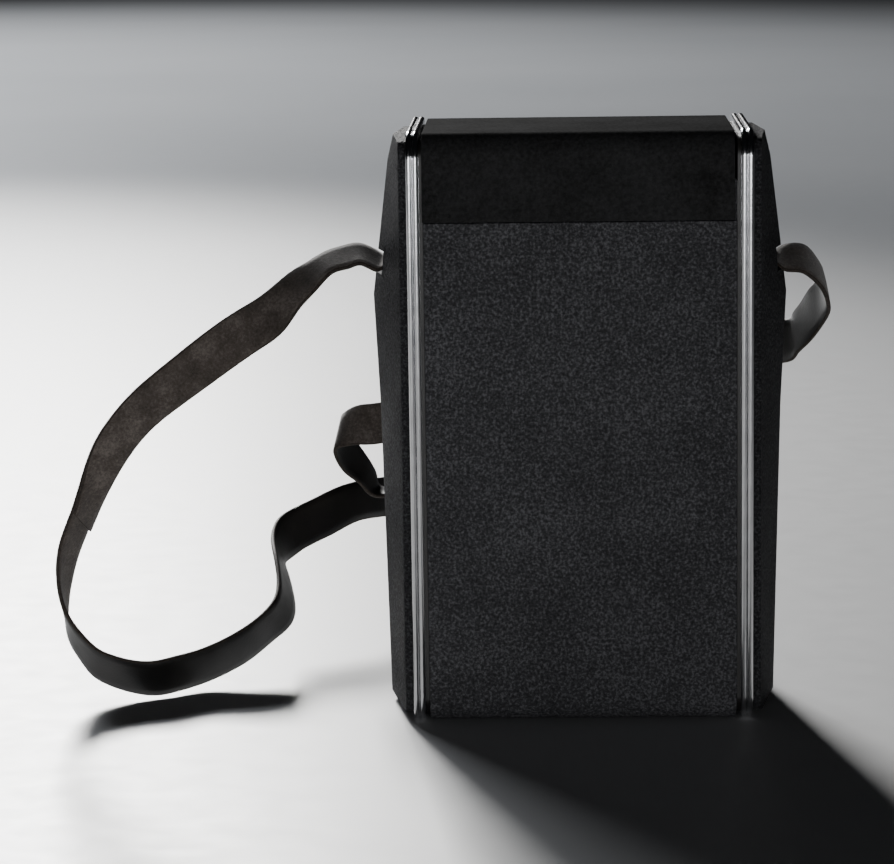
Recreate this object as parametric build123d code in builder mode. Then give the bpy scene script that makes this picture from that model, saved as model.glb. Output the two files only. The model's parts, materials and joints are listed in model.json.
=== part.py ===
from build123d import *
import os

os.makedirs("parts", exist_ok=True)

# Leather portable radio, standing upright. Millimetres, +Z up, front faces -Y.
# Origin: centre of the flat base. +X is the right side as seen from the front.

# ---------------------------------------------------------------- driving sizes
height = 231.0            # base to top of the lid
depth = 84.0              # front face to rear face
half_width = 60.0         # half the width of the leather wrap between the trims
corner = 9.0              # outside radius of the long edges
wall = 3.2                # leather over board, front and bottom
skin = 1.8                # lid, leather over sheet metal
rear_wall = 2.6           # rear panel and battery door

lap_edge = 197.0          # lower edge of the lid's lap down the front
front_top = 213.0         # top edge of the front wall under the lap
deck_top = 209.0          # face of the control deck
deck_thick = 2.0
chassis_z = 104.0         # underside of the chassis plate
chassis_thick = 1.2
seam_z = 104.0            # joint between the battery door and the rear panel

frame_in = 54.5           # end frame, inner face
frame_web = 60.3          # end frame, inner face of its closed web
cap_in = 66.6             # plane where an end frame meets its side cap
rim_inset = 2.4           # channel in the end frame's rim that the trim sits in
bead_radius = 1.2
bead_pitch = 2.44
trim_x = 64.0             # middle of each trim
trim_proud = 0.8

cap_inset = 3.0           # side cap, set back from the case outline
cap_flat = 69.4           # outer plane of the cap's narrow flat border
cap_wall = 2.4
cap_ridge = [(1.0, 76.8), (118.0, 79.4), (164.5, 81.6), (218.0, 75.2), (230.0, 72.4)]

hinge_y, hinge_z = 38.2, 226.2
knuckle_radius = 2.5
pin_radius = 1.2
running_gap = 0.05
hinge_half = 56.0
hinge_segments = 7
door_pin_y, door_pin_z = 40.0, 18.3
door_hinge_half = 54.0
door_knuckle_radius = 2.0
door_pin_radius = 0.9
lip_z = 16.0              # top of the wrap's turned-up rear lip

speaker_x, speaker_y, speaker_radius = -22.0, -2.0, 27.0
knob_x, volume_y, tuning_y = 34.0, -18.0, 17.0
shaft_radius = 3.0
switch_x, switch_y = 10.0, 30.0

strap_width, strap_thick = 18.0, 1.4
slot_z = 176.5            # height of the strap at its slot in each side cap

tube_radius, tube_y = 9.2, -22.0
tube_xs = [-40.0, -14.0, 12.0, 38.0]
cell_radius, cell_height, cell_y = 16.4, 61.0, 17.0
cell_xs = [-17.2, 17.2]
tray_top = 4.4
sides = {"left": -1, "right": 1}


def outline(inset=0.0, mode=Mode.ADD):
    """Side outline of the case, drawn in on all four sides by inset."""
    with Locations((0, inset)):
        RectangleRounded(depth - 2 * inset, height - 2 * inset, corner - inset,
                         align=(Align.CENTER, Align.MIN), mode=mode)


def block(y0, y1, z0, z1, mode=Mode.ADD):
    """Rectangle in a side-view sketch, by its y and z limits."""
    with Locations(((y0 + y1) / 2, (z0 + z1) / 2)):
        Rectangle(y1 - y0, z1 - z0, mode=mode)


def box(x0, x1, y0, y1, z0, z1, mode=Mode.ADD):
    """Box by its limits on each axis."""
    with Locations(((x0 + x1) / 2, (y0 + y1) / 2, (z0 + z1) / 2)):
        Box(x1 - x0, y1 - y0, z1 - z0, mode=mode)


def post(x, y, z0, z1, radius, mode=Mode.ADD):
    """Upright cylinder from z0 to z1."""
    with Locations((x, y, (z0 + z1) / 2)):
        Cylinder(radius, z1 - z0, mode=mode)


def save(piece, name):
    piece.part.label = name
    export_step(piece.part, f"parts/{name}.step")


# ---------------------------------------------------------------- case
# Wrap: front wall, bottom and a turned-up rear lip, rebated where the lid laps over it.
with BuildPart() as front_shell:
    with BuildSketch(Plane.YZ.offset(-half_width)):
        outline()
        outline(wall, Mode.SUBTRACT)
        block(-depth, depth, front_top, height + 1, Mode.SUBTRACT)
        block(0, depth, lip_z, height, Mode.SUBTRACT)
        block(-depth / 2 - 1, -depth / 2 + skin + 0.2, lap_edge, front_top, Mode.SUBTRACT)
    extrude(amount=2 * half_width)
save(front_shell, "front_shell")

# End frames: a closed web with a rim that lines the wrap inside and carries the trim outside.
for side, s in sides.items():
    with BuildPart() as end_frame:
        with BuildSketch(Plane.YZ.offset(s * frame_in)):
            outline(wall)
            block(-depth, depth, front_top - 1, height, Mode.SUBTRACT)
            block(depth / 2 - 3.9, depth, 0, height, Mode.SUBTRACT)
        extrude(amount=s * (frame_web - frame_in))
        with BuildSketch(Plane.YZ.offset(s * frame_in)):
            block(-depth / 2 + wall + 2.6, depth / 2 - 6.5, wall + 2.6, front_top - 4)
        extrude(amount=s * (frame_web - frame_in), mode=Mode.SUBTRACT)
        with BuildSketch(Plane.YZ.offset(s * frame_web)):
            outline(rim_inset)
        extrude(amount=s * (cap_in - frame_web))
        with BuildSketch(Plane.YZ.offset(s * (frame_web + 2.0))):
            outline(8.0)
        extrude(amount=s * (cap_in - frame_web), mode=Mode.SUBTRACT)
    save(end_frame, f"end_frame_{side}")

# Trims: a flat band round each end with two half-round beads standing on it.
bead_inset = bead_radius - trim_proud
for side, s in sides.items():
    with BuildPart() as trim:
        with BuildSketch(Plane.YZ.offset(s * trim_x - bead_pitch)):
            outline(0.7)
            outline(rim_inset - 0.05, Mode.SUBTRACT)
        extrude(amount=2 * bead_pitch)
        for x in (s * trim_x - bead_pitch / 2, s * trim_x + bead_pitch / 2):
            with BuildSketch(Plane.YZ.offset(x), mode=Mode.PRIVATE) as loop:
                with Locations((0, bead_radius)):
                    RectangleRounded(depth - 2 * bead_inset, height - bead_radius - bead_inset,
                                     corner - bead_inset, align=(Align.CENTER, Align.MIN))
            path = loop.sketch.face().outer_wire()
            with BuildSketch(Plane(origin=path @ 0, z_dir=path % 0)):
                Circle(bead_radius)
            sweep(path=path)
    save(trim, f"trim_{side}")

# Side caps: faceted shells that rise to a ridge at mid depth and a crown at the strap.
for side, s in sides.items():
    with BuildPart() as cap:
        edge = depth / 2 - cap_inset
        for z, reach in cap_ridge:
            with BuildSketch(Plane.XY.offset(z)):
                with BuildLine():
                    Polyline((s * cap_in, -edge), (s * cap_flat, -edge), (s * reach, 0),
                             (s * cap_flat, edge), (s * cap_in, edge), close=True)
                make_face()
        loft(ruled=True)
        with BuildSketch(Plane.YZ.offset(s * cap_in)):
            outline(cap_inset)
        extrude(amount=s * 20, mode=Mode.INTERSECT)
        with BuildPart(mode=Mode.SUBTRACT):
            for z, reach in [(6.0, 76.0)] + cap_ridge[1:4] + [(225.0, 73.5)]:
                with BuildSketch(Plane.XY.offset(z)):
                    with BuildLine():
                        Polyline((s * cap_in, -edge + 4), (s * (cap_flat - cap_wall), -edge + 4),
                                 (s * (reach - cap_wall), 0), (s * (cap_flat - cap_wall), edge - 4),
                                 (s * cap_in, edge - 4), close=True)
                    make_face()
            loft(ruled=True)
        with Locations((s * 78, 0, slot_z + 1.5)):
            Box(10, strap_width + 1.4, 9.0, mode=Mode.SUBTRACT)
    save(cap, f"cap_{side}")

# ---------------------------------------------------------------- lid
with BuildPart() as lid:
    with BuildSketch(Plane.YZ.offset(-half_width - 0.4)):
        outline()
        outline(skin, Mode.SUBTRACT)
        block(-depth, depth, -1, lap_edge + 0.3, Mode.SUBTRACT)
        block(hinge_y - 2.8, depth, -1, height + 1, Mode.SUBTRACT)
    extrude(amount=2 * half_width - 0.4)
    for x in (-half_width + 0.1, half_width - 2.8):
        with BuildSketch(Plane.YZ.offset(x)):
            outline(skin - 0.1)
            block(-depth, depth, -1, front_top + 1, Mode.SUBTRACT)
            block(hinge_y - 6.0, depth, -1, height + 1, Mode.SUBTRACT)
        extrude(amount=1.6)
save(lid, "lid")

lid_under = height - skin
with BuildPart() as lid_liner:
    box(-55, 55, -32.5, 18, lid_under - 2.0, lid_under)
    fillet(lid_liner.edges().filter_by(Axis.Z), 4)
save(lid_liner, "lid_liner")

with BuildPart() as loop_antenna:
    with BuildSketch(Plane.XY.offset(lid_under - 2.0)):
        with Locations((0, -7.5)):
            RectangleRounded(104, 46, 8)
            RectangleRounded(86, 28, 5, mode=Mode.SUBTRACT)
    extrude(amount=-1.6)
save(loop_antenna, "loop_antenna")





def knuckles(indexes, half, radius, y, z, y0, y1, z0, z1):
    """Hinge barrels along X at some of a hinge's segments, each with a neck to its leaf."""
    length = 2 * half / hinge_segments
    for index in indexes:
        middle = -half + length * (index + 0.5)
        with Locations((middle, y, z)):
            Cylinder(radius, length - 0.4, rotation=(0, 90, 0))
        box(middle - length / 2 + 0.2, middle + length / 2 - 0.2, y0, y1, z0, z1)


with BuildPart() as lid_hinge_leaf:
    box(-hinge_half, hinge_half, 20, hinge_y - 3.0, lid_under - 1.6, lid_under - 0.5)
    knuckles((1, 3, 5), hinge_half, knuckle_radius, hinge_y, hinge_z,
             hinge_y - 3.2, hinge_y, lid_under - 1.6, lid_under - 0.5)
    with Locations((0, hinge_y, hinge_z)):
        Cylinder(pin_radius + running_gap, 200, rotation=(0, 90, 0), mode=Mode.SUBTRACT)
save(lid_hinge_leaf, "lid_hinge_leaf")

with BuildPart() as case_hinge_leaf:
    leaf_y = depth / 2 - rear_wall
    box(-hinge_half, hinge_half, leaf_y - 1.2, leaf_y, 213, hinge_z - 2.8)
    knuckles((0, 2, 4, 6), hinge_half, knuckle_radius, hinge_y, hinge_z,
             leaf_y - 1.2, leaf_y, hinge_z - 3, hinge_z)
    with Locations((0, hinge_y, hinge_z)):
        Cylinder(pin_radius, 200, rotation=(0, 90, 0), mode=Mode.SUBTRACT)
save(case_hinge_leaf, "case_hinge_leaf")

with BuildPart() as lid_hinge_pin:
    with Locations((0, hinge_y, hinge_z)):
        Cylinder(pin_radius, 2 * hinge_half, rotation=(0, 90, 0))
save(lid_hinge_pin, "lid_hinge_pin")

# Snap catch: a sprung tongue inside the lap and its strike plate on the front wall.
with BuildPart() as lid_catch:
    box(-9, 9, -depth / 2 + skin, -depth / 2 + skin + 0.9, front_top + 1.2, 221.5)
    box(-5, 5, -depth / 2 + skin, -depth / 2 + 6, 220.4, 221.5)
save(lid_catch, "lid_catch")

with BuildPart() as catch_strike:
    box(-7, 7, -depth / 2 + wall, -depth / 2 + wall + 0.8, deck_top + 0.2, front_top)
save(catch_strike, "catch_strike")

# ---------------------------------------------------------------- rear
rear_in = depth / 2 - rear_wall
with BuildPart() as rear_panel:
    box(-half_width, half_width, rear_in, depth / 2, seam_z + 0.3, hinge_z - 2.9)
    with BuildSketch(Plane.XZ.offset(-rear_in)):
        with Locations((0, 160)):
            with GridLocations(13, 9, 6, 5):
                SlotOverall(10, 3)
    extrude(amount=-rear_wall, mode=Mode.SUBTRACT)
save(rear_panel, "rear_panel")

with BuildPart() as battery_door:
    box(-half_width, half_width, rear_in, depth / 2, door_pin_z + 2.4, seam_z - 0.3)
    knuckles((1, 3, 5), door_hinge_half, door_knuckle_radius, door_pin_y, door_pin_z,
             rear_in, depth / 2, door_pin_z, door_pin_z + 3)
    with Locations((0, door_pin_y, door_pin_z)):
        Cylinder(door_pin_radius + running_gap, 200, rotation=(0, 90, 0), mode=Mode.SUBTRACT)
save(battery_door, "battery_door")

with BuildPart() as door_hinge_leaf:
    knuckles((0, 2, 4, 6), door_hinge_half, door_knuckle_radius, door_pin_y, door_pin_z,
             37.6, 38.8, 10, door_pin_z)
    box(-door_hinge_half + 0.2, door_hinge_half - 0.2, 37.6, 38.8, 9.2, lip_z - 1)
    with Locations((0, door_pin_y, door_pin_z)):
        Cylinder(door_pin_radius, 200, rotation=(0, 90, 0), mode=Mode.SUBTRACT)
save(door_hinge_leaf, "door_hinge_leaf")

with BuildPart() as door_hinge_pin:
    with Locations((0, door_pin_y, door_pin_z)):
        Cylinder(door_pin_radius, 2 * door_hinge_half, rotation=(0, 90, 0))
save(door_hinge_pin, "door_hinge_pin")

with BuildPart() as door_pull:
    box(-7, 7, depth / 2, depth / 2 + 1.2, 84, 101)
    fillet(door_pull.edges().filter_by(Axis.Y).group_by(Axis.Z)[0], 5)
save(door_pull, "door_pull")

with BuildPart() as door_catch:
    box(-8, 8, rear_in - 1.4, rear_in, seam_z + 2, seam_z + 14)
    box(-8, 8, rear_in - 1.4, rear_in - 0.6, seam_z - 8, seam_z + 3)
save(door_catch, "door_catch")

with BuildPart() as rear_screws:
    with BuildSketch(Plane.XZ.offset(-depth / 2)):
        with Locations((0, (115 + 206) / 2)):
            with GridLocations(108, 206 - 115, 2, 2):
                Circle(2.6)
    extrude(amount=-0.9)
    fillet(rear_screws.faces().sort_by(Axis.Y)[-4:].edges(), 0.6)
save(rear_screws, "rear_screws")

# ---------------------------------------------------------------- control deck
with BuildPart() as control_deck:
    box(-54.3, 54.3, -38.6, 37.8, deck_top - deck_thick, deck_top)
    post(speaker_x, speaker_y, 200, 212, speaker_radius, Mode.SUBTRACT)
    post(knob_x, volume_y, 200, 212, 3.6, Mode.SUBTRACT)
    post(knob_x, tuning_y, 200, 212, 3.6, Mode.SUBTRACT)
    post(switch_x, switch_y, 200, 212, 2.6, Mode.SUBTRACT)
save(control_deck, "control_deck")

with BuildPart() as speaker_grille:
    with BuildSketch(Plane.XY.offset(deck_top)):
        with Locations((speaker_x, speaker_y)):
            Circle(speaker_radius + 3.5)
            for ring in range(1, 5):
                with PolarLocations(5.7 * ring, 6 * ring):
                    Circle(1.9, mode=Mode.SUBTRACT)
            Circle(1.9, mode=Mode.SUBTRACT)
    extrude(amount=1.2)
    fillet(speaker_grille.faces().sort_by(Axis.Z)[-1].outer_wire().edges(), 0.8)
save(speaker_grille, "speaker_grille")

deck_under = deck_top - deck_thick
with BuildPart() as grille_cloth:
    post(speaker_x, speaker_y, deck_under - 0.5, deck_under, speaker_radius + 3)
save(grille_cloth, "grille_cloth")

with BuildPart() as speaker_basket:
    with BuildSketch(Plane.XZ):
        with BuildLine():
            Polyline((speaker_radius - 1, deck_under - 0.5), (speaker_radius + 3, deck_under - 0.5),
                     (speaker_radius + 3, deck_under - 1.7), (speaker_radius, deck_under - 1.7),
                     (15, 184), (9, 184), (9, 185.2), (14, 185.2), close=True)
        make_face()
    revolve(axis=Axis.Z)
    with BuildSketch(Plane.XY.offset(188)):
        with PolarLocations(21, 4):
            Rectangle(9, 16)
    extrude(amount=12, mode=Mode.SUBTRACT)
speaker_basket.part = speaker_basket.part.moved(Location((speaker_x, speaker_y, 0)))
save(speaker_basket, "speaker_basket")

with BuildPart() as speaker_cone:
    with BuildSketch(Plane.XZ):
        with BuildLine():
            Polyline((0, 191.5), (7, 190), (21, 202.6), (23.4, 203.4), (25.2, 205.5), (25.2, 206.3),
                     (23.2, 204.4), (20.6, 203.5), (7, 191), (0, 193), close=True)
        make_face()
    revolve(axis=Axis.Z)
speaker_cone.part = speaker_cone.part.moved(Location((speaker_x, speaker_y, 0)))
save(speaker_cone, "speaker_cone")

with BuildPart() as speaker_magnet:
    post(speaker_x, speaker_y, 169, 184, 14)
    chamfer(speaker_magnet.edges().group_by(Axis.Z)[0], 1.2)
    post(speaker_x, speaker_y, 183, 189, 5)
save(speaker_magnet, "speaker_magnet")


def knob(y, radius, top):
    """Fluted control knob with its own shaft, turning about a vertical axis."""
    with BuildPart() as made:
        post(knob_x, y, deck_top + 1.4, top, radius)
        fillet(made.edges().group_by(Axis.Z)[-1], 1.2)
        with BuildSketch(Plane.XY.offset(top)):
            with Locations((knob_x, y)):
                with PolarLocations(radius + 0.5, 24):
                    Circle(1.0)
        extrude(amount=-(top - deck_top - 3.0), mode=Mode.SUBTRACT)
        box(knob_x - 0.5, knob_x + 0.5, y + 2, y + radius - 1.5, top - 0.6, top + 1, Mode.SUBTRACT)
        post(knob_x, y, 194.5, deck_top + 2, shaft_radius)
    return made


volume_knob = knob(volume_y, 10.5, 218.0)
save(volume_knob, "volume_knob")
tuning_knob = knob(tuning_y, 12.5, 219.0)
save(tuning_knob, "tuning_knob")

with BuildPart() as volume_control:
    post(knob_x, volume_y, 194, deck_under, 11.5)
    post(knob_x, volume_y, deck_under - 1, deck_top, 3.6)
    post(knob_x, volume_y, 194.4, deck_top + 1, shaft_radius + running_gap, Mode.SUBTRACT)
save(volume_control, "volume_control")

with BuildPart() as dial_plate:
    with BuildSketch(Plane.XY.offset(deck_top)):
        with Locations((knob_x, tuning_y)):
            Circle(17.5)
            Circle(3.6, mode=Mode.SUBTRACT)
    extrude(amount=0.8)
save(dial_plate, "dial_plate")

# Tuning capacitor: open frame, fixed plates, and a rotor of half discs between them.
plate_pitch, plate_count = 4.4, 6
gang_low = 165.0
with BuildPart() as tuning_frame:
    for z in (gang_low - 1.6, 192.8):
        box(knob_x - 17, knob_x + 17, tuning_y - 17, tuning_y + 17, z, z + 1.6)
    for x in (knob_x - 17, knob_x + 15.4):
        box(x, x + 1.6, tuning_y - 3, tuning_y + 3, gang_low - 1, 193.5)
    for i in range(plate_count):
        z = gang_low + 2.0 + plate_pitch * i
        box(knob_x - 16, knob_x + 16, tuning_y + 1, tuning_y + 16, z, z + 0.8)
        post(knob_x, tuning_y, z - 1, z + 2, 5.0, Mode.SUBTRACT)
    for x in (knob_x - 14, knob_x + 14):
        post(x, tuning_y + 14, gang_low - 1, 193.5, 1.5)
    post(knob_x, tuning_y, 160, 200, shaft_radius + running_gap, Mode.SUBTRACT)
    post(knob_x, tuning_y, 194.0, deck_under, 7.5)
    post(knob_x, tuning_y, 193, deck_top, shaft_radius + running_gap, Mode.SUBTRACT)
save(tuning_frame, "tuning_frame")

with BuildPart() as tuning_rotor:
    post(knob_x, tuning_y, gang_low - 3, 194.5, shaft_radius)
    for i in range(plate_count):
        with BuildSketch(Plane.XY.offset(gang_low + 4.2 + plate_pitch * i)):
            with Locations((knob_x, tuning_y)):
                Circle(12)
            with Locations((knob_x, tuning_y + 16)):
                Rectangle(40, 32, mode=Mode.SUBTRACT)
            with Locations((knob_x, tuning_y)):
                Circle(shaft_radius + 1)
        extrude(amount=0.8)
save(tuning_rotor, "tuning_rotor")

with BuildPart() as lid_switch_body:
    box(switch_x - 6, switch_x + 6, switch_y - 5, switch_y + 5, 190, deck_under)
    post(switch_x, switch_y, 195, 212, 2.05, Mode.SUBTRACT)
save(lid_switch_body, "lid_switch_body")

with BuildPart() as lid_switch_plunger:
    post(switch_x, switch_y, 196, lid_under - 1.9, 2.0)
    fillet(lid_switch_plunger.edges().group_by(Axis.Z)[-1], 1.2)
save(lid_switch_plunger, "lid_switch_plunger")

with BuildPart() as deck_screws:
    for x in (-49, 49):
        for y in (-33, 33):
            post(x, y, deck_top, deck_top + 1.0, 2.8)
    fillet(deck_screws.edges().group_by(Axis.Z)[-1], 0.7)
save(deck_screws, "deck_screws")

# ---------------------------------------------------------------- chassis and valves
chassis_top = chassis_z + chassis_thick
with BuildPart() as chassis:
    box(-54.3, 54.3, -38.6, 36.5, chassis_z, chassis_top)
    box(-54.3, -53.1, -30, 30, chassis_z, chassis_z + 16)
    box(53.1, 54.3, -30, 30, chassis_z, chassis_z + 16)
    post(46, 26, chassis_z - 2, chassis_top + 2, 3.2, Mode.SUBTRACT)
save(chassis, "chassis")

with BuildPart() as valve_sockets:
    for x in tube_xs:
        post(x, tube_y, chassis_top, chassis_top + 5, 9.8)
    fillet(valve_sockets.edges().group_by(Axis.Z)[-1], 0.8)
save(valve_sockets, "valve_sockets")

for number, x in enumerate(tube_xs, 1):
    with BuildPart() as valve:
        base = chassis_top + 5
        with BuildSketch(Plane.XZ):
            with BuildLine():
                Polyline((0, base), (tube_radius, base), (tube_radius, base + 40))
                Spline((tube_radius, base + 40), (tube_radius * 0.55, base + 45.5), (0.9, base + 49.5),
                       tangents=[(0, 1), (-0.3, 1)])
                Polyline((0.9, base + 49.5), (0, base + 50.2), (0, base))
            make_face()
        revolve(axis=Axis.Z)
    valve.part = valve.part.moved(Location((x, tube_y, 0)))
    save(valve, f"valve_{number}")

with BuildPart() as intermediate_coils:
    for x in (-12, 13):
        box(x - 9.5, x + 9.5, 4, 23, chassis_top, chassis_top + 38)
    fillet(intermediate_coils.edges().filter_by(Axis.Z), 2)
    fillet(intermediate_coils.edges().group_by(Axis.Z)[-1], 1)
save(intermediate_coils, "intermediate_coils")

with BuildPart() as output_transformer:
    box(-52, -26, 6, 28, chassis_top + 2, chassis_top + 24)
    box(-46, -32, 2, 32, chassis_top, chassis_top + 17)
save(output_transformer, "output_transformer")

with BuildPart() as filter_capacitor:
    post(38, 8, chassis_top, chassis_top + 46, 9)
    fillet(filter_capacitor.edges().group_by(Axis.Z)[-1], 1.5)
save(filter_capacitor, "filter_capacitor")

# ---------------------------------------------------------------- batteries
with BuildPart() as battery_tray:
    box(-54.3, 54.3, -32.8, 32.8, wall, tray_top)
    for x in (-37.6, 36.4):
        box(x, x + 1.2, -32.8, -2, tray_top - 0.5, 24)
save(battery_tray, "battery_tray")

with BuildPart() as high_voltage_battery:
    box(-36, 36, -36, -1.5, tray_top, 92)
    fillet(high_voltage_battery.edges(), 1.0)
save(high_voltage_battery, "high_voltage_battery")

with BuildPart() as battery_plug:
    box(-20, 20, -27, -13, 92, 98)
    fillet(battery_plug.edges().filter_by(Axis.Z), 5)
save(battery_plug, "battery_plug")

with BuildPart() as battery_lead:
    with BuildLine():
        run = FilletPolyline((20, -20, 95), (32, -20, 95), (42, -14, 95), (46, -2, 94), (46, 12, 94),
                             (46, 24, 97), (46, 26, 112), radius=4.5)
    with BuildSketch(Plane(origin=run @ 0, z_dir=run % 0)):
        Circle(1.3)
    sweep(path=run)
save(battery_lead, "battery_lead")

cell_low = tray_top + 1.2
for number, x in enumerate(cell_xs, 1):
    with BuildPart() as cell:
        post(x, cell_y, cell_low, cell_low + cell_height - 2, cell_radius)
        fillet(cell.edges(), 1.2)
        post(x, cell_y, cell_low + cell_height - 3, cell_low + cell_height, 4.8)
    save(cell, f"filament_cell_{number}")

with BuildPart() as cell_contacts:
    box(-30, 30, cell_y - 7, cell_y + 7, tray_top, cell_low)
    for x in cell_xs:
        post(x, cell_y, cell_low + cell_height, cell_low + cell_height + 0.8, 7)
        box(x - 4, x + 4, cell_y - 6, cell_y - 5.2, cell_low + cell_height, chassis_z)
save(cell_contacts, "cell_contacts")

# ---------------------------------------------------------------- strap
# Route of the strap's middle line and the direction across it, from the left slot round
# to the right one. The strap stands on edge on the table at its lowest point.
strap_route = [
    ((-67, 0, 176.5), (0, 1, 0)), ((-73, 0, 176.5), (0, 1, 0)),
    ((-77.5, 0, 177.2), (0, 0.99, 0.15)), ((-80.6, -1, 178), (-0.02, 0.95, 0.32)),
    ((-86.4, -2, 180.7), (-0.07, 0.94, 0.34)), ((-92.3, -4, 179.8), (-0.15, 0.92, 0.36)),
    ((-98.9, -6, 177.9), (-0.2, 0.91, 0.35)), ((-105.7, -9, 172.8), (-0.26, 0.83, 0.49)),
    ((-112.6, -11, 167.2), (-0.27, 0.68, 0.68)), ((-121.6, -14, 158.4), (-0.47, 0.4, 0.79)),
    ((-136.1, -16, 149.1), (-0.54, 0, 0.84)), ((-158.6, -18, 132.8), (-0.49, -0.32, 0.81)),
    ((-174.1, -19, 120.2), (-0.41, -0.35, 0.84)), ((-186.2, -18, 104.7), (-0.45, -0.41, 0.79)),
    ((-193.7, -15, 88.9), (-0.31, -0.63, 0.71)), ((-199, -12, 75.4), (-0.25, -0.78, 0.57)),
    ((-204.8, -8, 61.6), (-0.25, -0.83, 0.5)), ((-208, -4, 48), (-0.12, -0.87, 0.47)),
    ((-208.2, -3, 38.1), (0.05, -0.93, 0.37)), ((-205.4, -4, 28.3), (0.24, -0.83, 0.5)),
    ((-200, -5, 20.5), (0.25, -0.73, 0.64)), ((-192.6, -6, 14.4), (0.21, -0.58, 0.79)),
    ((-176.9, -5, 9.7), (0.08, -0.47, 0.88)), ((-165.2, 1, 9.7), (0.05, -0.41, 0.91)),
    ((-153.7, 12, 10.8), (0, -0.43, 0.9)), ((-139.6, 23, 15.6), (-0.07, -0.49, 0.87)),
    ((-130.2, 36, 20.6), (-0.16, -0.6, 0.78)), ((-124.3, 48, 25.2), (-0.35, -0.6, 0.71)),
    ((-124.5, 65, 31.2), (-0.29, -0.71, 0.64)), ((-128, 84, 38), (-0.22, -0.73, 0.65)),
    ((-129.8, 102, 40.3), (-0.28, -0.53, 0.8)), ((-124.9, 119, 44), (-0.49, 0, 0.87)),
    ((-113.1, 134, 47.5), (-0.49, 0, 0.87)), ((-100.5, 150, 50.7), (-0.38, 0, 0.92)),
    ((-82, 180, 48), (-0.1, 0.17, 0.98)), ((-52, 201, 48), (0, 0.15, 0.99)),
    ((-24, 204, 49), (0, 0.1, 1)), ((-7, 189, 52), (0, -0.1, 1)),
    ((-22, 168, 55), (0.05, -0.41, 0.91)), ((-58, 148, 59), (0.1, -0.82, 0.56)),
    ((-85.5, 134, 58.2), (0, -1, 0)), ((-92, 126, 65.7), (-0.29, -0.95, -0.11)),
    ((-98.4, 119, 75.7), (-0.35, -0.82, -0.46)), ((-103.2, 114, 85.3), (-0.21, -0.73, -0.65)),
    ((-102.3, 110.5, 90.3), (-0.12, -0.68, -0.72)), ((-94.5, 107.5, 93.2), (-0.04, -0.42, -0.91)),
    ((-84.1, 108, 94), (-0.02, -0.32, -0.95)), ((-52, 109, 100), (0, -0.71, -0.71)),
    ((-8, 102, 108), (0, -1, -0.05)), ((36, 90, 119), (0, -0.76, 0.65)),
    ((64, 72, 131), (-0.1, -0.3, 0.95)), ((84.2, 51, 136.4), (-0.02, 0.3, 0.95)),
    ((88.3, 43, 140.7), (-0.03, 0.47, 0.88)), ((91.7, 35, 146.5), (-0.15, 0.59, 0.8)),
    ((95, 27, 153.3), (-0.23, 0.59, 0.78)), ((97.3, 20, 158.4), (-0.21, 0.74, 0.64)),
    ((97.7, 14, 163.4), (-0.11, 0.78, 0.61)), ((95.7, 8, 168.7), (-0.03, 0.88, 0.48)),
    ((91.3, 3, 174.4), (0.03, 0.87, 0.5)), ((86.6, 0, 177.3), (0.03, 0.86, 0.51)),
    ((80.8, -1, 177.4), (0.01, 0.89, 0.45)), ((77.5, 0, 177.2), (0, 0.99, 0.15)),
    ((73, 0, 176.5), (0, 1, 0)), ((67, 0, 176.5), (0, 1, 0)),
]
joint_at = 15             # route point where the two lengths of strap are joined
steps_per_point = 2


def strap_edge(sign):
    """Spline along one edge of the strap, one parameter unit for each route point."""
    points = [Vector(*p) + Vector(*across).normalized() * (sign * strap_width / 2)
              for p, across in strap_route]
    return Edge.make_spline(points, parameters=[i / (len(points) - 1) for i in range(len(points))])


edge_a, edge_b = strap_edge(1), strap_edge(-1)


def strap_piece(first, last):
    """Solid strip between two route points, skinned between its cross-sections."""
    total = len(strap_route) - 1
    rings = []
    for i in range(first * steps_per_point, last * steps_per_point + 1):
        t = i / steps_per_point / total
        a = edge_a.position_at(t, position_mode=PositionMode.PARAMETER)
        b = edge_b.position_at(t, position_mode=PositionMode.PARAMETER)
        run_dir = (edge_a.tangent_at(t, position_mode=PositionMode.PARAMETER)
                   + edge_b.tangent_at(t, position_mode=PositionMode.PARAMETER))
        across = (a - b).normalized() * (strap_width / 2)
        rise = run_dir.cross(across).normalized() * (strap_thick / 2)
        middle = (a + b) * 0.5
        rings.append([middle + across + rise, middle - across + rise,
                      middle - across - rise, middle + across - rise])
    skin = [Face(Wire.make_polygon(ring)) for ring in (rings[0], rings[-1])]
    for one, two in zip(rings, rings[1:]):
        for i in range(4):
            j = (i + 1) % 4
            skin.append(Face.make_surface_from_curves(Edge.make_line(one[i], one[j]),
                                                      Edge.make_line(two[i], two[j])))
    with BuildPart() as strip:
        add(Solid(Shell(skin)))
    return strip


strap_left = strap_piece(0, joint_at)
save(strap_left, "strap_left")
strap_right = strap_piece(joint_at, len(strap_route) - 1)
save(strap_right, "strap_right")

strap_low = slot_z - strap_thick / 2
for side, s in sides.items():
    with BuildPart() as anchor:
        with Locations((s * 67.8, 0, strap_low - 1.6)):
            Box(11, 18, 3)
        with Locations((s * 63.3, 0, strap_low - 6)):
            Box(2, 18, 12)
    save(anchor, f"strap_anchor_{side}")

with BuildPart() as strap_clamps:
    for s in sides.values():
        with Locations((s * 69.5, 0, slot_z + strap_thick / 2 + 1.0)):
            Box(4, 16, 1.2)
save(strap_clamps, "strap_clamps")
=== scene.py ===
import json
import math
import random

import bmesh
import bpy
import numpy as np
from mathutils import Matrix, Vector


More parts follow.
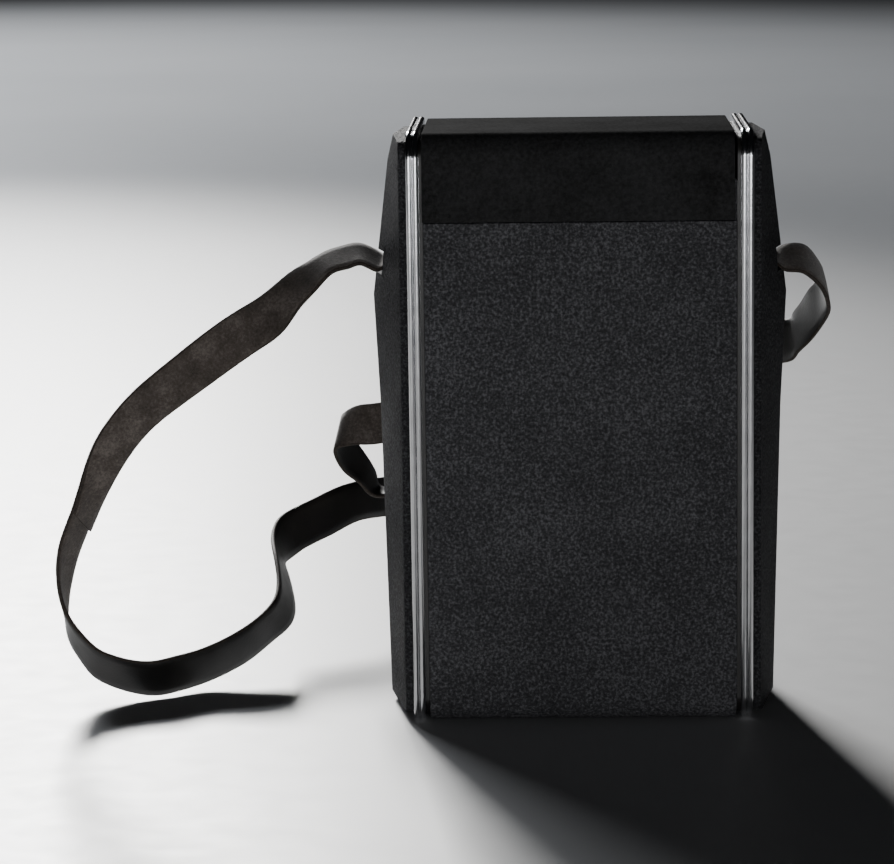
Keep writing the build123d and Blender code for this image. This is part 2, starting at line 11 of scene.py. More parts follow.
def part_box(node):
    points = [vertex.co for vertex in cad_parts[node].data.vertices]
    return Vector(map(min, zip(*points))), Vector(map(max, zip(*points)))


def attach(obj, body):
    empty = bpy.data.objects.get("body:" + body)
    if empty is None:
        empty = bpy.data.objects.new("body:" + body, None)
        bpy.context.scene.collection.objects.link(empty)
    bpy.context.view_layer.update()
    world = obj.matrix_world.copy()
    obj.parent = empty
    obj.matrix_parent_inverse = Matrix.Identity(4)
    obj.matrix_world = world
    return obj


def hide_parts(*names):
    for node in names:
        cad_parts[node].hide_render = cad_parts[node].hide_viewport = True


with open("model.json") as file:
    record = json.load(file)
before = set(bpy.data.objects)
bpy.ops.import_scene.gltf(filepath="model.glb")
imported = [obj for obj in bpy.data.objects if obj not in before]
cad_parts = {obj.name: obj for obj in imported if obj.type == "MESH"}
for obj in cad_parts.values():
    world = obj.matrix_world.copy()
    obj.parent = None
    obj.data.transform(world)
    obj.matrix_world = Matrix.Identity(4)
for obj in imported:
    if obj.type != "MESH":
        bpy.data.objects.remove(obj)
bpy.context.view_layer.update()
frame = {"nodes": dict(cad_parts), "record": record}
nodes = frame["nodes"]

MM = 0.001

# ------------------------------------------------------------------ camera and studio

FRONT_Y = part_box("front_shell")[0][1]


def make_camera():
    """Long lens a little above the lid, looking down at the front."""
    data = bpy.data.cameras.new("camera")
    data.sensor_width = 36.0
    data.lens = 137.6
    camera = bpy.data.objects.new("camera", data)
    bpy.context.scene.collection.objects.link(camera)
    place = Vector((-0.010, FRONT_Y - 1.300, 0.346))
    aim = Vector((-0.0519, FRONT_Y, 0.1161))
    look = (aim - place).to_track_quat("-Z", "Y").to_euler()
    look.rotate_axis("Z", math.radians(-0.8))
    camera.location = place
    camera.rotation_euler = look
    data.clip_start, data.clip_end = 0.05, 30.0
    bpy.context.scene.camera = camera


def area_light(name, place, aim, size, power, colour, tall=None, spread=180):
    """Adds a rectangular lamp, square unless its height is given, with a spread in degrees."""
    data = bpy.data.lights.new(name, "AREA")
    data.shape = "RECTANGLE"
    data.size = size
    data.size_y = tall or size
    data.energy = power
    data.color = colour
    data.spread = math.radians(spread)
    lamp = bpy.data.objects.new(name, data)
    lamp.location = place
    lamp.rotation_euler = (Vector(aim) - Vector(place)).to_track_quat("-Z", "Y").to_euler()
    bpy.context.scene.collection.objects.link(lamp)


def make_studio():
    """Pale table, a low key from behind on the left, a lamp for the table's far part, and a fill."""
    mesh = bpy.data.meshes.new("floor")
    form = bmesh.new()
    bmesh.ops.create_grid(form, x_segments=2, y_segments=2, size=16.0)
    form.to_mesh(mesh)
    form.free()
    floor = bpy.data.objects.new("floor", mesh)
    bpy.context.scene.collection.objects.link(floor)
    floor.data.materials.append(floor_material())

    area_light("key", (-0.74, 2.75, 1.26), (-0.85, 0.05, 0.0), 0.56, 36, (1.0, 0.99, 0.97), spread=68)
    area_light("far", (-1.9, 5.0, 2.5), (-1.3, 2.7, 0.0), 2.0, 74, (0.93, 0.96, 1.0), spread=112)
    area_light("front", (0.1, -2.6, 0.12), (0.0, 0.0, 0.13), 2.4, 16.5, (0.97, 0.98, 1.0), 0.22)
    world = bpy.data.worlds.new("studio")
    bpy.context.scene.world = world
    world.use_nodes = True
    background = world.node_tree.nodes["Background"]
    background.inputs["Color"].default_value = (0.80, 0.86, 1.0, 1)
    background.inputs["Strength"].default_value = 0.004


# ------------------------------------------------------------------ material helpers

class Look:
    """A procedural material in the object's own coordinates, which are the frame's metres."""

    def __init__(self, name, colour, rough, metal=0.0, spec=0.5):
        self.material = bpy.data.materials.new(name)
        self.material.use_nodes = True
        self.tree = self.material.node_tree
        self.shader = self.tree.nodes["Principled BSDF"]
        self.set("Base Color", (*colour, 1))
        self.set("Roughness", rough)
        self.set("Metallic", metal)
        self.set("Specular IOR Level", spec)
        self.place = self.tree.nodes.new("ShaderNodeTexCoord").outputs["Object"]

    def set(self, socket, value):
        self.shader.inputs[socket].default_value = value

    def link(self, source, target):
        self.tree.links.new(source, target)

    def stretch(self, scale):
        """The object's coordinates, scaled by a different amount along each axis."""
        node = self.tree.nodes.new("ShaderNodeMapping")
        node.inputs["Scale"].default_value = scale
        self.link(self.place, node.inputs["Vector"])
        return node.outputs["Vector"]

    def noise(self, scale, detail=3.0, rough=0.55, place=None):
        node = self.tree.nodes.new("ShaderNodeTexNoise")
        node.inputs["Scale"].default_value = scale
        node.inputs["Detail"].default_value = detail
        node.inputs["Roughness"].default_value = rough
        self.link(place or self.place, node.inputs["Vector"])
        return node.outputs["Fac"]

    def cells(self, scale):
        node = self.tree.nodes.new("ShaderNodeTexVoronoi")
        node.feature = "SMOOTH_F1"
        node.inputs["Scale"].default_value = scale
        self.link(self.place, node.inputs["Vector"])
        return node.outputs["Distance"]

    def wave(self, scale, direction):
        node = self.tree.nodes.new("ShaderNodeTexWave")
        node.bands_direction = direction
        node.inputs["Scale"].default_value = scale
        self.link(self.place, node.inputs["Vector"])
        return node.outputs["Fac"]

    def sum(self, a, b, operation="ADD"):
        """Joins two values, each a number or a socket, by the operation."""
        node = self.tree.nodes.new("ShaderNodeMath")
        node.operation = operation
        for value, socket in zip((a, b), node.inputs):
            if isinstance(value, (int, float)):
                socket.default_value = value
            else:
                self.link(value, socket)
        return node.outputs["Value"]

    def ramp(self, fac, stops, target):
        """Colour ramp of (position, colour) stops, linked to a named shader socket."""
        node = self.tree.nodes.new("ShaderNodeValToRGB")
        points = node.color_ramp.elements
        while len(points) < len(stops):
            points.new(0.5)
        for point, (position, colour) in zip(points, stops):
            point.position = position
            point.color = (*colour, 1)
        self.link(fac, node.inputs["Fac"])
        self.link(node.outputs["Color"], self.shader.inputs[target])

    def vary_rough(self, fac, low, high):
        node = self.tree.nodes.new("ShaderNodeMapRange")
        node.inputs["To Min"].default_value = low
        node.inputs["To Max"].default_value = high
        self.link(fac, node.inputs["Value"])
        self.link(node.outputs["Result"], self.shader.inputs["Roughness"])

    def bump(self, height, strength, distance):
        node = self.tree.nodes.new("ShaderNodeBump")
        node.inputs["Strength"].default_value = strength
        node.inputs["Distance"].default_value = distance
        self.link(height, node.inputs["Height"])
        self.link(node.outputs["Normal"], self.shader.inputs["Normal"])


def grey(value):
    return (value, value, value)


def floor_material():
    """Pale matt table top, faintly uneven in tone."""
    look = Look("pale_table", grey(0.62), 0.42, spec=0.4)
    look.ramp(look.noise(1.3, 2.0), [(0.3, (0.60, 0.605, 0.61)), (0.7, (0.66, 0.662, 0.665))],
              "Base Color")
    look.vary_rough(look.noise(60, 3.0), 0.38, 0.5)
    return look.material


def grained_leather(name="grained_leather", painted_shade_scale=1.0):
    """Black leather with a coarse pebble grain; its pebble tops are lighter in the colour, partly
    grain tone and partly a painted highlight, and a shade scale below one darkens the whole colour as
    painted shade.
    """
    look = Look(name, grey(0.02), 0.6, spec=0.07)
    pebbles = look.cells(720)
    fine = look.noise(900, 3.0, 0.7)
    clouds = look.noise(26, 3.0)
    height = look.sum(look.sum(1.0, pebbles, "SUBTRACT"), look.sum(fine, 0.9, "MULTIPLY"))
    # The fine noise that raises the pebbles also lightens them: partly grain tone, partly a painted
    # highlight on the pebble tops.
    tone = look.sum(look.sum(fine, 0.85, "MULTIPLY"), look.sum(clouds, 0.15, "MULTIPLY"))
    stops = []
    # Each stop is multiplied by the shade scale; a scale below one is painted shade.
    for position, value in ((0.36, 0.036), (0.50, 0.066), (0.64, 0.160)):
        stops.append((position, (painted_shade_scale * value, painted_shade_scale * value, painted_shade_scale * 1.06 * value)))
    look.ramp(tone, stops, "Base Color")
    look.set("IOR", 1.18)
    look.vary_rough(fine, 0.45, 0.75)
    look.bump(height, 1.0, 0.0006)
    return look.material


def smooth_leather():
    """Thin dull black leather drawn tight over the lid."""
    look = Look("smooth_leather", grey(0.012), 0.75, spec=0.03)
    pores = look.noise(700, 4.0, 0.65)
    clouds = look.noise(34, 4.0)
    tone = look.sum(look.sum(clouds, 0.4, "MULTIPLY"), look.sum(pores, 0.6, "MULTIPLY"))
    look.ramp(tone, [(0.36, grey(0.016)), (0.66, (0.044, 0.044, 0.045))], "Base Color")
    look.set("IOR", 1.07)
    look.vary_rough(look.noise(90, 3.0), 0.6, 0.8)
    look.bump(pores, 0.5, 0.0002)
    return look.material


def suede():
    """Flesh side of the strap, with a short nap."""
    look = Look("strap_suede", (0.16, 0.13, 0.11), 0.95, spec=0.15)
    nap = look.noise(900, 4.0, 0.7)
    clouds = look.noise(70, 4.0, 0.6)
    tone = look.sum(look.sum(nap, 0.45, "MULTIPLY"), look.sum(clouds, 0.55, "MULTIPLY"))
    look.ramp(tone, [(0.36, (0.048, 0.039, 0.033)), (0.5, (0.094, 0.078, 0.068)),
                     (0.64, (0.190, 0.164, 0.146))], "Base Color")
    look.set("Sheen Weight", 0.35)
    look.set("Sheen Roughness", 0.5)
    look.bump(nap, 0.6, 0.0003)
    return look.material


def strap_leather():
    """Grain side of the strap, black and slightly polished by use."""
    look = Look("strap_leather", grey(0.012), 0.4, spec=0.5)
    grain = look.cells(1300)
    look.ramp(look.noise(45, 4.0), [(0.3, grey(0.007)), (0.72, (0.020, 0.018, 0.017))], "Base Color")
    look.vary_rough(look.noise(120, 3.0), 0.32, 0.52)
    look.bump(grain, 0.3, 0.00015)
    return look.material


def strap_edge():
    """Cut edge of the strap, raw fibre under worn dye."""
    look = Look("strap_edge", (0.035, 0.027, 0.022), 0.7, spec=0.3)
    fibre = look.noise(1100, 3.0, 0.7)
    look.ramp(fibre, [(0.35, (0.018, 0.014, 0.012)), (0.7, (0.075, 0.058, 0.046))], "Base Color")
    look.bump(fibre, 0.5, 0.0002)
    return look.material


DRAWING_MARKS = (40, 40, 900)     # noise scale along x, y and z


def bright_metal(name, colour, rough):
    """Bright metal with fine drawing marks and a faint worn cloud in its tone."""
    look = Look(name, colour, rough, metal=1.0)
    marks = look.noise(1.0, 3.0, 0.6, look.stretch(DRAWING_MARKS))
    look.ramp(look.noise(120, 3.0), [(0.3, tuple(0.86 * c for c in colour)), (0.7, colour)],
              "Base Color")
    look.vary_rough(look.noise(240, 4.0), rough * 0.75, rough * 1.5)
    look.bump(marks, 0.12, 0.00006)
    return look.material


def moulded(name, colour, rough=0.38, mottle=0.25):
    """Moulded phenolic or similar plastic, faintly mottled."""
    look = Look(name, colour, rough, spec=0.5)
    dark = tuple(c * (1 - mottle) for c in colour)
    light = tuple(min(1, c * (1 + mottle)) for c in colour)
    look.ramp(look.noise(160, 5.0, 0.65), [(0.32, dark), (0.68, light)], "Base Color")
    look.vary_rough(look.noise(300, 3.0), rough * 0.8, rough * 1.3)
    look.bump(look.noise(700, 2.0), 0.08, 0.00008)
    return look.material


def enamel(name, colour, rough=0.34):
    """Sprayed enamel with a slight orange peel."""
    look = Look(name, colour, rough, spec=0.5)
    look.ramp(look.noise(60, 3.0), [(0.3, tuple(0.9 * c for c in colour)), (0.7, colour)],
              "Base Color")
    look.vary_rough(look.noise(220, 3.0), rough * 0.85, rough * 1.2)
    look.bump(look.noise(520, 2.0), 0.12, 0.0001)
    look.set("Coat Weight", 0.3)
    look.set("Coat Roughness", 0.2)
    return look.material


def woven(name, colour, pitch):
    """Plain weave with the given thread pitch in metres."""
    look = Look(name, colour, 0.85, spec=0.2)
    threads = 1 / pitch / math.pi
    weave = look.sum(look.wave(threads, "X"), look.wave(threads, "Y"), "MULTIPLY")
    look.ramp(weave, [(0.05, tuple(0.45 * c for c in colour)), (0.8, colour)], "Base Color")
    look.bump(weave, 0.7, 0.0002)
    return look.material


def wound_wire():
    """Cotton-covered wire laid turn beside turn."""
    look = Look("wound_wire", (0.42, 0.26, 0.11), 0.6, spec=0.3)
    turns = look.wave(520, "Y")
    look.ramp(turns, [(0.1, (0.16, 0.085, 0.03)), (0.7, (0.50, 0.32, 0.14))], "Base Color")
    look.bump(turns, 0.6, 0.0002)
    return look.material


def clear_glass():
    """Thin blown glass."""
    look = Look("valve_glass", (0.95, 0.97, 0.97), 0.04, spec=0.5)
    look.set("Transmission Weight", 0.95)
    look.set("IOR", 1.47)
    look.vary_rough(look.noise(140, 2.0), 0.02, 0.07)
    return look.material


# ------------------------------------------------------------------ mesh helpers

def keep(name, form, material, body, smooth_angle=35):
    """Turns a bmesh into a piece that rides on a body, with one material or a list of them."""
    mesh = bpy.data.meshes.new(name)
    form.normal_update()
    form.to_mesh(mesh)
    form.free()
    piece = bpy.data.objects.new(name, mesh)
    bpy.context.scene.collection.objects.link(piece)
    for one in material if isinstance(material, (list, tuple)) else [material]:
        mesh.materials.append(one)
    shade(piece, smooth_angle)
    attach(piece, body)
    return piece


def shade(piece, angle):
    """Smooth shading that stays crisp across edges sharper than the angle."""
    mesh = piece.data
    mesh.polygons.foreach_set("use_smooth", [True] * len(mesh.polygons))
    mesh.set_sharp_from_angle(angle=math.radians(angle))


BODY_OF = {node: body for body, group in frame["record"]["behaviour"]["bodies"].items()
           for node in group}


WELD_DISTANCE = 0.02 * MM     # corners of neighbouring CAD faces closer than this are one
BEVEL_ANGLE = 28              # degrees; edges sharper than this are rounded


def softened(node, width, material, segments=3):
    """A copy of a CAD node with its hard edges rounded, standing for that node."""
    form = bmesh.new()
    form.from_mesh(nodes[node].data)
    bmesh.ops.remove_doubles(form, verts=form.verts, dist=WELD_DISTANCE)
    bmesh.ops.dissolve_limit(form, angle_limit=math.radians(0.5), verts=form.verts,
                             edges=form.edges)
    piece = keep(f"{node}_finished", form, material, BODY_OF[node])
    bevel = piece.modifiers.new("soft_edges", "BEVEL")
    bevel.width = width
    bevel.segments = segments
    bevel.limit_method = "ANGLE"
    bevel.angle_limit = math.radians(BEVEL_ANGLE)
    bevel.harden_normals = True
    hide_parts(node)
    return piece


def dress(material, *names):
    """Gives CAD nodes whose shape is right their finished material."""
    for name in names:
        mesh = nodes[name].data
        mesh.materials.clear()
        mesh.materials.append(material)


# ------------------------------------------------------------------ strap

STRAP_WIDTH = 18 * MM
STRAP_THICK = 1.7 * MM
# Middle of the strap in millimetres and the direction across it, from the left slot round to
# the right one.
STRAP_ROUTE = [
    ((-67, 0, 176.5), (0, 1, 0)), ((-73, 0, 176.5), (0, 1, 0)),
    ((-77.5, 0, 177.2), (0, 0.99, 0.15)), ((-80.6, -1, 178), (-0.02, 0.95, 0.32)),
    ((-86.4, -2, 180.7), (-0.07, 0.94, 0.34)), ((-92.3, -4, 179.8), (-0.15, 0.92, 0.36)),
    ((-98.9, -6, 177.9), (-0.2, 0.91, 0.35)), ((-105.7, -9, 172.8), (-0.26, 0.83, 0.49)),
    ((-112.6, -11, 167.2), (-0.27, 0.68, 0.68)), ((-121.6, -14, 158.4), (-0.47, 0.4, 0.79)),
    ((-136.1, -16, 149.1), (-0.54, 0, 0.84)), ((-158.6, -18, 132.8), (-0.49, -0.32, 0.81)),
    ((-174.1, -19, 120.2), (-0.41, -0.35, 0.84)), ((-186.2, -18, 104.7), (-0.45, -0.41, 0.79)),
    ((-193.7, -15, 88.9), (-0.31, -0.63, 0.71)), ((-199, -12, 75.4), (-0.25, -0.78, 0.57)),
    ((-204.8, -8, 61.6), (-0.25, -0.83, 0.5)), ((-208, -4, 48), (-0.12, -0.87, 0.47)),
    ((-208.2, -3, 38.1), (0.05, -0.93, 0.37)), ((-205.4, -4, 28.3), (0.24, -0.83, 0.5)),
    ((-200, -5, 20.5), (0.25, -0.73, 0.64)), ((-192.6, -6, 14.4), (0.21, -0.58, 0.79)),
    ((-176.9, -5, 9.7), (0.08, -0.47, 0.88)), ((-165.2, 1, 9.7), (0.05, -0.41, 0.91)),
    ((-153.7, 12, 10.8), (0, -0.43, 0.9)), ((-139.6, 23, 15.6), (-0.07, -0.49, 0.87)),
    ((-130.2, 36, 20.6), (-0.16, -0.6, 0.78)), ((-124.3, 48, 25.2), (-0.35, -0.6, 0.71)),
    ((-124.5, 65, 31.2), (-0.29, -0.71, 0.64)), ((-128, 84, 38), (-0.22, -0.73, 0.65)),
    ((-129.8, 102, 40.3), (-0.28, -0.53, 0.8)), ((-124.9, 119, 44), (-0.49, 0, 0.87)),
    ((-113.1, 134, 47.5), (-0.49, 0, 0.87)), ((-100.5, 150, 50.7), (-0.38, 0, 0.92)),
    ((-82, 180, 48), (-0.1, 0.17, 0.98)), ((-52, 201, 48), (0, 0.15, 0.99)),
    ((-24, 204, 49), (0, 0.1, 1)), ((-7, 189, 52), (0, -0.1, 1)),
    ((-22, 168, 55), (0.05, -0.41, 0.91)), ((-58, 148, 59), (0.1, -0.82, 0.56)),
    ((-85.5, 134, 58.2), (0, -1, 0)), ((-92, 126, 65.7), (-0.29, -0.95, -0.11)),
    ((-98.4, 119, 75.7), (-0.35, -0.82, -0.46)), ((-103.2, 114, 85.3), (-0.21, -0.73, -0.65)),
    ((-102.3, 110.5, 90.3), (-0.12, -0.68, -0.72)), ((-94.5, 107.5, 93.2), (-0.04, -0.42, -0.91)),
    ((-84.1, 108, 94), (-0.02, -0.32, -0.95)), ((-52, 109, 100), (0, -0.71, -0.71)),
    ((-8, 102, 108), (0, -1, -0.05)), ((36, 90, 119), (0, -0.76, 0.65)),
    ((64, 72, 131), (-0.1, -0.3, 0.95)), ((84.2, 51, 136.4), (-0.02, 0.3, 0.95)),
    ((88.3, 43, 140.7), (-0.03, 0.47, 0.88)), ((91.7, 35, 146.5), (-0.15, 0.59, 0.8)),
    ((95, 27, 153.3), (-0.23, 0.59, 0.78)), ((97.3, 20, 158.4), (-0.21, 0.74, 0.64)),
    ((97.7, 14, 163.4), (-0.11, 0.78, 0.61)), ((95.7, 8, 168.7), (-0.03, 0.88, 0.48)),
    ((91.3, 3, 174.4), (0.03, 0.87, 0.5)), ((86.6, 0, 177.3), (0.03, 0.86, 0.51)),
    ((80.8, -1, 177.4), (0.01, 0.89, 0.45)), ((77.5, 0, 177.2), (0, 0.99, 0.15)),
    ((73, 0, 176.5), (0, 1, 0)), ((67, 0, 176.5), (0, 1, 0)),
]
STRAP_JOINT = 15          # route point where the two lengths lap
STRAP_LAP = 2.2           # length of the lap, in route points
STRAP_FADE = 3.0          # route points past the joint over which the upper length settles
STRAP_STEP = 0.1          # distance between cross-sections, in route points
STRAP_INSET = 0.05        # route points left free at each end
# Cross-section, as (share of the width, share of half the thickness, look of the next face).
STRAP_SECTION = [
    (-0.47, 1.0, 0), (-0.3, 1.0, 0), (0.0, 1.0, 0), (0.3, 1.0, 0), (0.47, 1.0, 2),
    (0.5, 0.45, 2), (0.5, -0.45, 2), (0.47, -1.0, 1), (0.3, -1.0, 1), (0.0, -1.0, 1),
    (-0.3, -1.0, 1), (-0.47, -1.0, 2), (-0.5, -0.45, 2), (-0.5, 0.45, 2),
]


class Spline:
    """Natural cubic spline through points, one parameter unit apart."""

    def __init__(self, points):
        self.points = np.array(points, float)
        count = len(points)
        system = np.eye(count) * 4
        system[0, 0] = system[-1, -1] = 1
        right = np.zeros_like(self.points)
        for i in range(1, count - 1):
            system[i, i - 1] = system[i, i + 1] = 1
            right[i] = 6 * (self.points[i - 1] - 2 * self.points[i] + self.points[i + 1])
        self.bend = np.linalg.solve(system, right)

    def at(self, t):
        i = min(int(t), len(self.points) - 2)
        b = t - i
        a = 1 - b
        return (a * self.points[i] + b * self.points[i + 1]
                + ((a ** 3 - a) * self.bend[i] + (b ** 3 - b) * self.bend[i + 1]) / 6)


def strap_edges():
    """The strap's two long edges as splines, in metres."""
    edges = []
    for side in (1, -1):
        points = []
        for place, across in STRAP_ROUTE:
            unit = np.array(across, float) / np.linalg.norm(across)
            points.append((np.array(place, float) + side * unit * STRAP_WIDTH / MM / 2) * MM)
        edges.append(Spline(points))
    return edges


def strap_length(name, first, last, looks, shift=0.0, slide=0.0):
    """One length of strap between two route parameters, as a strip with rounded edges.

    shift moves it towards its grain side, slide moves it sideways, both in metres, and both
    fade out past the joint. The width varies a little and the strap cups slightly.
    """
    upper, lower = strap_edges()
    route_end = len(STRAP_ROUTE) - 1.001

    def middle_at(t):
        return (upper.at(t) + lower.at(t)) / 2

    form = bmesh.new()
    rows = []
    count = max(2, int(round((last - first) / STRAP_STEP)))
    wobble = random.Random(5)
    width_phase = wobble.uniform(0, 6.28)
    cup_phase = wobble.uniform(0, 6.28)
    for k in range(count + 1):
        t = first + (last - first) * k / count
        along = middle_at(min(t + 0.01, route_end)) - middle_at(max(t - 0.01, 0))
        along = along / np.linalg.norm(along)
        across = upper.at(t) - lower.at(t)
        across = across / np.linalg.norm(across)
        outward = np.cross(along, across)
        outward = outward / np.linalg.norm(outward)
        fade = 1 - min(max((t - STRAP_JOINT) / STRAP_FADE, 0.0), 1.0)
        fade = fade * fade * (3 - 2 * fade)
        middle = middle_at(t) + outward * (shift * fade) + across * (slide * fade)
        width = STRAP_WIDTH * (1 + 0.012 * math.sin(2.1 * t + width_phase))
        cup = 0.00035 * math.sin(0.9 * t + cup_phase)
        row = []
        for u, v, _ in STRAP_SECTION:
            bow = cup * (1 - 4 * u * u)
            point = middle + across * (u * width) + outward * (v * (STRAP_THICK / 2) + bow)
            row.append(form.verts.new(point))
        rows.append(row)
    for one, two in zip(rows, rows[1:]):
        for i, (_, _, paint) in enumerate(STRAP_SECTION):
            j = (i + 1) % len(STRAP_SECTION)
            face = form.faces.new((one[i], one[j], two[j], two[i]))
            face.material_index = paint
    for row in (rows[0], rows[-1][::-1]):
        end = form.faces.new(row)
        end.material_index = 2
    bmesh.ops.recalc_face_normals(form, faces=form.faces)
    return keep(name, form, looks, "case", 60)


def make_strap():
    """Two lengths that lap, the right one outside: grain side, suede side and cut edges."""
    looks = [strap_leather(), suede(), strap_edge()]
    end = len(STRAP_ROUTE) - 1 - STRAP_INSET
    left = strap_length("strap_left_length", STRAP_INSET, STRAP_JOINT, looks)
    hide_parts("strap_left")
    right = strap_length("strap_right_length", STRAP_JOINT - STRAP_LAP, end, looks,
                         shift=STRAP_THICK * 1.02, slide=-0.0007)
    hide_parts("strap_right")


# ------------------------------------------------------------------ small parts

KNOB_X = 34 * MM
VOLUME_Y = -18 * MM
TUNING_Y = 17 * MM
PRINT_THICK = 0.06 * MM
DECK_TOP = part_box("dial_plate")[0][2]
DIAL_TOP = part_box("dial_plate")[1][2]


def dial_angle(share):
    """Angle of a mark, for its share of the way round the scale."""
    return math.radians(-60 + 300 * share)


def round_knob(y, radius, angle, height):
    """Place at a distance from a knob's axis."""
    return (KNOB_X + radius * math.cos(angle), y + radius * math.sin(angle), height)


def slab(form, centre, size, turn=0.0):
    """Adds a small box turned about its own upright axis."""
    made = bmesh.ops.create_cube(form, size=1.0)["verts"]
    bmesh.ops.scale(form, vec=size, verts=made)
    bmesh.ops.rotate(form, cent=(0, 0, 0), matrix=Matrix.Rotation(turn, 3, "Z"), verts=made)
    bmesh.ops.translate(form, vec=centre, verts=made)


def turned(form, centre, profile, steps=28):
    """Adds a solid of revolution from (radius, height) points about an upright axis."""
    rings = []
    for radius, height in profile:
        rings.append([form.verts.new((centre[0] + radius * math.cos(2 * math.pi * k / steps),
                                      centre[1] + radius * math.sin(2 * math.pi * k / steps),
                                      centre[2] + height)) for k in range(steps)])
    for low, high in zip(rings, rings[1:]):
        for k in range(steps):
            j = (k + 1) % steps
            form.faces.new((low[k], low[j], high[j], high[k]))
    form.faces.new(rings[0][::-1])
    form.faces.new(rings[-1])


def numeral(text, place, height, turn, material, name):
    """A printed numeral lying on the dial."""
    curve = bpy.data.curves.new(name + "_outline", "FONT")
    curve.body = text
    curve.size = height
    curve.extrude = 0.03 * MM
    curve.align_x, curve.align_y = "CENTER", "CENTER"
    holder = bpy.data.objects.new(name + "_outline", curve)
    bpy.context.scene.collection.objects.link(holder)
    bpy.context.view_layer.update()
    form = bmesh.new()
    form.from_mesh(holder.to_mesh())
    holder.to_mesh_clear()
    bpy.data.objects.remove(holder)
    bmesh.ops.rotate(form, cent=(0, 0, 0), matrix=Matrix.Rotation(turn, 3, "Z"), verts=form.verts)
    bmesh.ops.translate(form, vec=place, verts=form.verts)
    keep(name, form, material, "case")


def make_dial():
    """Scale round the tuning knob, volume marks on the deck, and a pointer on each knob."""
    ink = enamel("dial_ink", (0.05, 0.012, 0.01), 0.5)
    form = bmesh.new()
    divisions = 40
    for k in range(divisions + 1):
        angle = dial_angle(k / divisions)
        length = (1.5 if k % 5 == 0 else 0.8) * MM
        centre = round_knob(TUNING_Y, 16.9 * MM - length / 2, angle, DIAL_TOP)
        slab(form, centre, (length, 0.22 * MM, PRINT_THICK), angle)
    keep("dial_scale", form, ink, "case")
    numbers = ["16", "14", "12", "10", "9", "8", "7", "6", "5"]
    for k, text in enumerate(numbers):
        angle = dial_angle(k / (len(numbers) - 1))
        place = round_knob(TUNING_Y, 14.1 * MM, angle, DIAL_TOP + 0.02 * MM)
        numeral(text, place, 2.1 * MM, angle - math.pi / 2, ink, f"dial_number_{text}")
    cream = enamel("deck_print", (0.62, 0.55, 0.40), 0.5)
    form = bmesh.new()
    steps = 10
    for k in range(steps + 1):
        angle = dial_angle(k / steps)
        centre = round_knob(VOLUME_Y, 12.8 * MM, angle, DECK_TOP)
        slab(form, centre, ((0.7 + 0.12 * k) * MM, 0.4 * MM, PRINT_THICK), angle)
    keep("volume_marks", form, cream, "case")
    for body, y, radius, top in (("volume", VOLUME_Y, 10.5 * MM, 218.0 * MM),
                                 ("tuning", TUNING_Y, 12.5 * MM, 219.0 * MM)):
        form = bmesh.new()
        length = radius - 3.7 * MM
        slab(form, (KNOB_X, y + 2.1 * MM + length / 2, top - 0.38 * MM),
             (0.9 * MM, length, 0.4 * MM))
        keep(f"{body}_pointer", form, ink, body)


def make_valves():
    """Electrodes, mica spacers and a getter patch inside each glass envelope."""
    steel = bright_metal("electrode_steel", (0.30, 0.30, 0.31), 0.5)
    mica = moulded("mica", (0.62, 0.60, 0.52), 0.4, 0.05)
    getter = bright_metal("getter", (0.55, 0.55, 0.58), 0.12)
    for number in range(1, 5):
        low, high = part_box(f"valve_{number}")
        x, y, base = (low[0] + high[0]) / 2, (low[1] + high[1]) / 2, low[2]
        form = bmesh.new()
        turned(form, (x, y, base), [(4.4 * MM, 12 * MM), (4.4 * MM, 33 * MM)])
        for side in (-1, 1):
            slab(form, (x + side * 5.4 * MM, y, base + 22 * MM), (0.5 * MM, 0.5 * MM, 27 * MM))
        keep(f"valve_{number}_electrodes", form, steel, "case")
        form = bmesh.new()
        for height in (10.6, 33.2):
            turned(form, (x, y, base), [(6.9 * MM, height * MM), (6.9 * MM, (height + 0.5) * MM)])
        keep(f"valve_{number}_mica", form, mica, "case")
        form = bmesh.new()
        turned(form, (x, y, base), [(5.2 * MM, 37.5 * MM), (4.6 * MM, 38.4 * MM),
                                    (2.4 * MM, 39.2 * MM)])
        keep(f"valve_{number}_getter", form, getter, "case")


def make_battery_wraps():
    """Printed bands round the batteries, and a brass cap on each cell."""
    cream = moulded("printed_cream", (0.62, 0.54, 0.36), 0.55, 0.06)
    brass = bright_metal("cell_brass", (0.70, 0.52, 0.24), 0.3)
    low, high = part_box("high_voltage_battery")
    centre = [(a + b) / 2 for a, b in zip(low, high)]
    size = [b - a for a, b in zip(low, high)]
    form = bmesh.new()
    for share, tall in ((0.16, 5), (0.5, 16), (0.84, 2)):
        slab(form, (centre[0], centre[1], low[2] + size[2] * share),
             (size[0] + 0.12 * MM, size[1] + 0.12 * MM, tall * MM))
    keep("battery_print", form, cream, "case")
    for number in (1, 2):
        low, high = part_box(f"filament_cell_{number}")
        x, y = (low[0] + high[0]) / 2, (low[1] + high[1]) / 2
        radius = (high[0] - low[0]) / 2 + 0.08 * MM
        form = bmesh.new()
        for start, tall in ((8, 3), (30, 14)):
            turned(form, (x, y, low[2]), [(radius, start * MM), (radius, (start + tall) * MM)], 48)
        keep(f"cell_print_{number}", form, cream, "case")
        form = bmesh.new()
        turned(form, (x, y, high[2]), [(4.9 * MM, -2.6 * MM), (4.9 * MM, -0.6 * MM)], 32)
        keep(f"cell_cap_{number}", form, brass, "case")


# ------------------------------------------------------------------ build

make_camera()
make_studio()

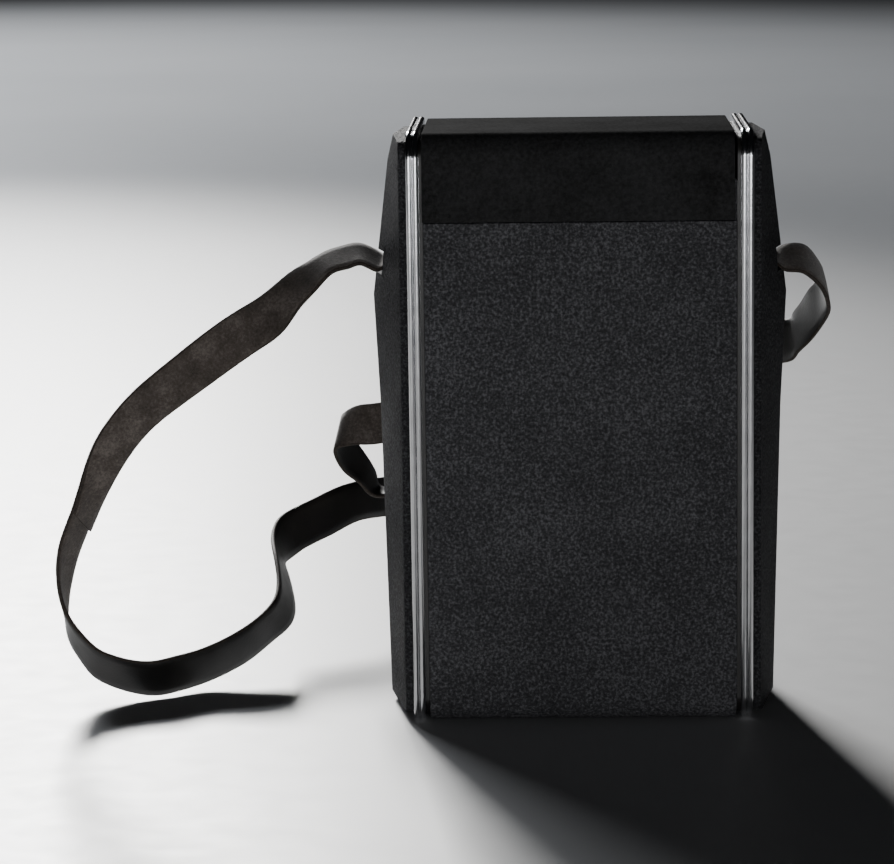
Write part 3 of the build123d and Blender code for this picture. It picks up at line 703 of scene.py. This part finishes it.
grained = grained_leather()
softened("front_shell", 0.5 * MM, grained)
softened("lid", 0.45 * MM, smooth_leather())
# The caps use a copy of the grained leather at half brightness, as painted shade on the caps.
shaded_cap_leather = grained_leather("cap_leather_painted_shade", 0.5)
for side in ("left", "right"):
    softened(f"cap_{side}", 0.9 * MM, shaded_cap_leather)
softened("rear_panel", 0.5 * MM, grained, 2)
softened("battery_door", 0.45 * MM, grained, 2)

chrome = bright_metal("bright_trim", (0.74, 0.74, 0.75), 0.13)
nickel = bright_metal("nickel_steel", (0.62, 0.60, 0.56), 0.3)
dress(chrome, "trim_left", "trim_right")
dress(nickel, "lid_hinge_leaf", "case_hinge_leaf", "lid_hinge_pin", "lid_catch", "catch_strike",
      "door_hinge_leaf", "door_hinge_pin", "door_catch", "strap_anchor_left",
      "strap_anchor_right", "strap_clamps", "cell_contacts", "rear_screws", "deck_screws")
phenolic = moulded("moulded_frame", (0.018, 0.016, 0.015))
dress(phenolic, "end_frame_left", "end_frame_right", "valve_sockets", "volume_control",
      "lid_switch_body", "battery_tray", "battery_plug")
dress(enamel("deck_enamel", (0.10, 0.025, 0.02)), "control_deck")
dress(woven("liner_board", (0.16, 0.13, 0.10), 0.0006), "lid_liner", "speaker_cone")
dress(wound_wire(), "loop_antenna")
dress(bright_metal("grille_metal", (0.74, 0.56, 0.28), 0.3), "speaker_grille")
dress(woven("grille_cloth", (0.16, 0.10, 0.06), 0.0009), "grille_cloth")
dress(enamel("speaker_steel", (0.08, 0.08, 0.085), 0.45), "speaker_basket", "speaker_magnet",
      "output_transformer")
dress(moulded("knob_plastic", (0.72, 0.62, 0.44), 0.25, 0.08), "volume_knob", "tuning_knob",
      "lid_switch_plunger")
dress(enamel("dial_metal", (0.66, 0.58, 0.40), 0.4), "dial_plate")
dress(bright_metal("tuner_aluminium", (0.72, 0.72, 0.72), 0.35), "tuning_frame", "tuning_rotor",
      "intermediate_coils", "filter_capacitor")
dress(bright_metal("chassis_steel", (0.55, 0.53, 0.46), 0.4), "chassis")
dress(clear_glass(), "valve_1", "valve_2", "valve_3", "valve_4")
dress(moulded("battery_card", (0.30, 0.05, 0.035), 0.5, 0.1), "high_voltage_battery",
      "filament_cell_1", "filament_cell_2")
dress(moulded("lead_rubber", (0.04, 0.03, 0.025), 0.6), "battery_lead")
dress(strap_leather(), "door_pull")

make_strap()
make_dial()
make_valves()
make_battery_wraps()
